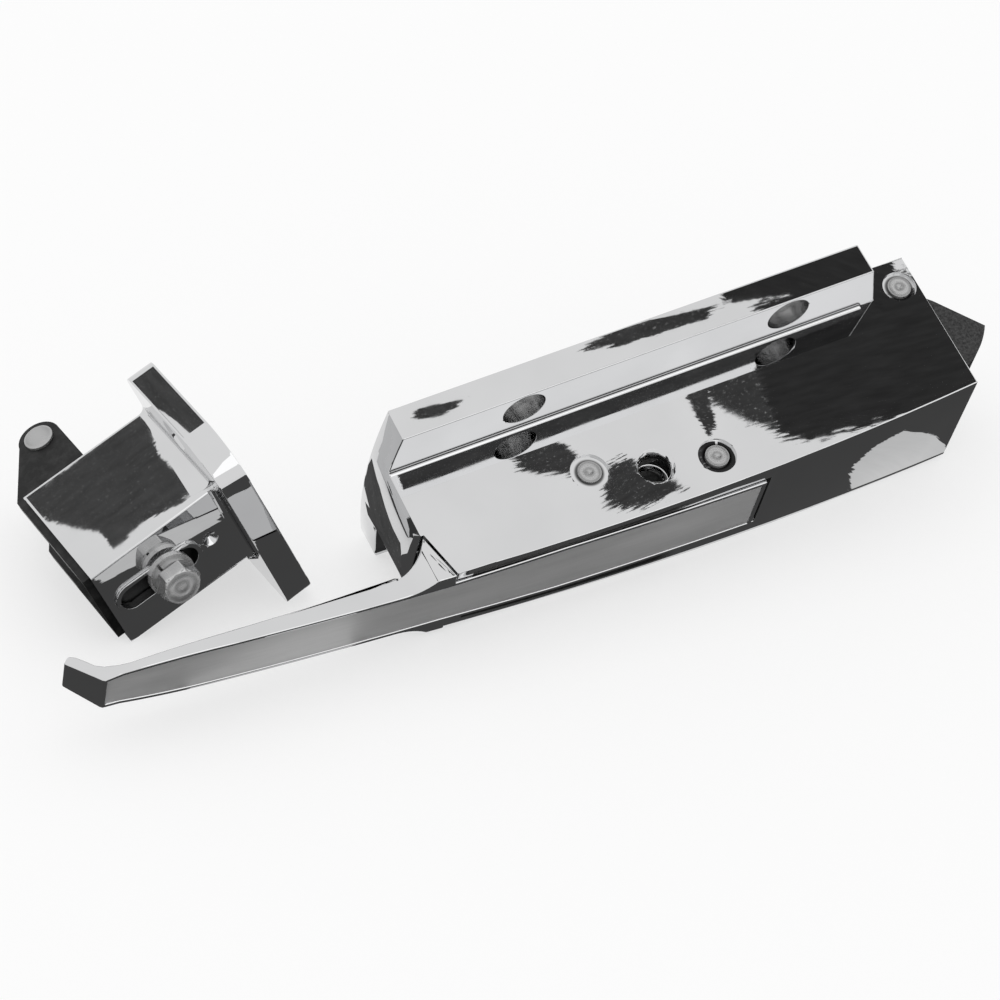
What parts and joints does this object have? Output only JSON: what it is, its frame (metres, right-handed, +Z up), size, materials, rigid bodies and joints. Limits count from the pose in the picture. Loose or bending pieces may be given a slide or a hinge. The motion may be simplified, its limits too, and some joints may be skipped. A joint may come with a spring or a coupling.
{
  "type": "walk-in cooler latch with roller strike",
  "caption": "Surface mounted cold-room door latch with a long curved lever handle and a pivoting tongue, beside its adjustable roller strike on a thick flange.",
  "frame": {"origin": "centre of the bounding box in plan, at the height of the surface that both pieces lie on", "axes": "+X along the latch from the handle's tip to the tongue, +Z up; seen from -Y the latch's front is towards the viewer"},
  "size_m": [0.2697, 0.1136, 0.0651],
  "materials": {
    "latch_body": "polished chrome plate",
    "handle": "polished chrome plate",
    "handle_inlay": "satin",
    "handle_pin": "plain turned steel",
    "stop_pin": "plain turned steel",
    "tongue_pin": "plain turned steel",
    "handle_bushes": "sintered bronze",
    "spring_sleeve": "sintered bronze",
    "handle_spring": "spring wire",
    "link_pin": "plain turned steel",
    "link_spacers": "plain turned steel",
    "drive_link": "zinc plated",
    "tongue": "dark grainy casting",
    "tongue_drive_pin": "plain turned steel",
    "tongue_bush": "sintered bronze",
    "tongue_spring": "spring wire",
    "spring_anchor": "plain turned steel",
    "strike_body": "polished chrome plate",
    "strike_bracket": "black oxide",
    "roller": "plain turned steel",
    "roller_pin": "black oxide",
    "roller_washers": "zinc plated",
    "adjusting_bolt": "zinc plated",
    "lock_washer": "zinc plated",
    "flat_washer": "zinc plated",
    "clamp_nut": "zinc plated"
  },
  "bodies": {
    "latch": {"latch_body": "latch_body", "handle_pin": "handle_pin", "stop_pin": "stop_pin", "tongue_pin": "tongue_pin", "handle_bushes": "handle_bushes", "spring_sleeve": "spring_sleeve", "handle_spring": "handle_spring", "tongue_bush": "tongue_bush", "tongue_spring": "tongue_spring", "spring_anchor": "spring_anchor"},
    "handle": {"handle": "handle", "handle_inlay": "handle_inlay", "link_pin": "link_pin", "link_spacers": "link_spacers"},
    "link": {"drive_link": "drive_link"},
    "tongue": {"tongue": "tongue", "tongue_drive_pin": "tongue_drive_pin"},
    "strike": {"strike_body": "strike_body"},
    "bracket": {"strike_bracket": "strike_bracket", "roller_pin": "roller_pin", "roller_washers": "roller_washers", "adjusting_bolt": "adjusting_bolt", "lock_washer": "lock_washer", "flat_washer": "flat_washer", "clamp_nut": "clamp_nut"},
    "roller": {"roller": "roller"}
  },
  "joints": [
    {"name": "handle_lift", "type": "hinge", "parent": "latch", "child": "handle", "pos_m": [0.04256, -0.04174, 0.01829], "axis": [-0.03, -0.4036, 0.9145], "range_deg": [0, 22], "stiffness_Nm_per_rad": 0.6, "springref_deg": -20.05, "deforming": ["handle_spring"]},
    {"name": "link_swing", "type": "hinge", "parent": "handle", "child": "link", "pos_m": [0.04256, -0.02528, 0.02556], "axis": [0.03, 0.4036, -0.9145], "range_deg": [0, 20]},
    {"name": "tongue_swing", "type": "hinge", "parent": "latch", "child": "tongue", "pos_m": [0.11288, -0.01698, 0.03152], "axis": [0.03, 0.4036, -0.9145], "range_deg": [0, 45], "stiffness_Nm_per_rad": 0.15, "springref_deg": -34.38, "deforming": ["tongue_spring"]},
    {"name": "strike_stand", "type": "slide", "parent": "latch", "child": "strike", "axis": [0, 0, 1], "range_m": [0, 0.1]},
    {"name": "bracket_slide", "type": "slide", "parent": "strike", "child": "bracket", "axis": [0.9316, 0.0451, 0.3606], "range_m": [-0.01, 0.005]},
    {"name": "roller_spin", "type": "hinge", "parent": "bracket", "child": "roller", "pos_m": [-0.1022, 0.05069, 0.01776], "axis": [0.3602, 0.0174, -0.9327], "continuous": true}
  ],
  "couplings": [
    {"joint": "link_swing", "follows": "handle_lift", "ratio": 0.858},
    {"joint": "tongue_swing", "follows": "handle_lift", "ratio": 2}
  ]
}
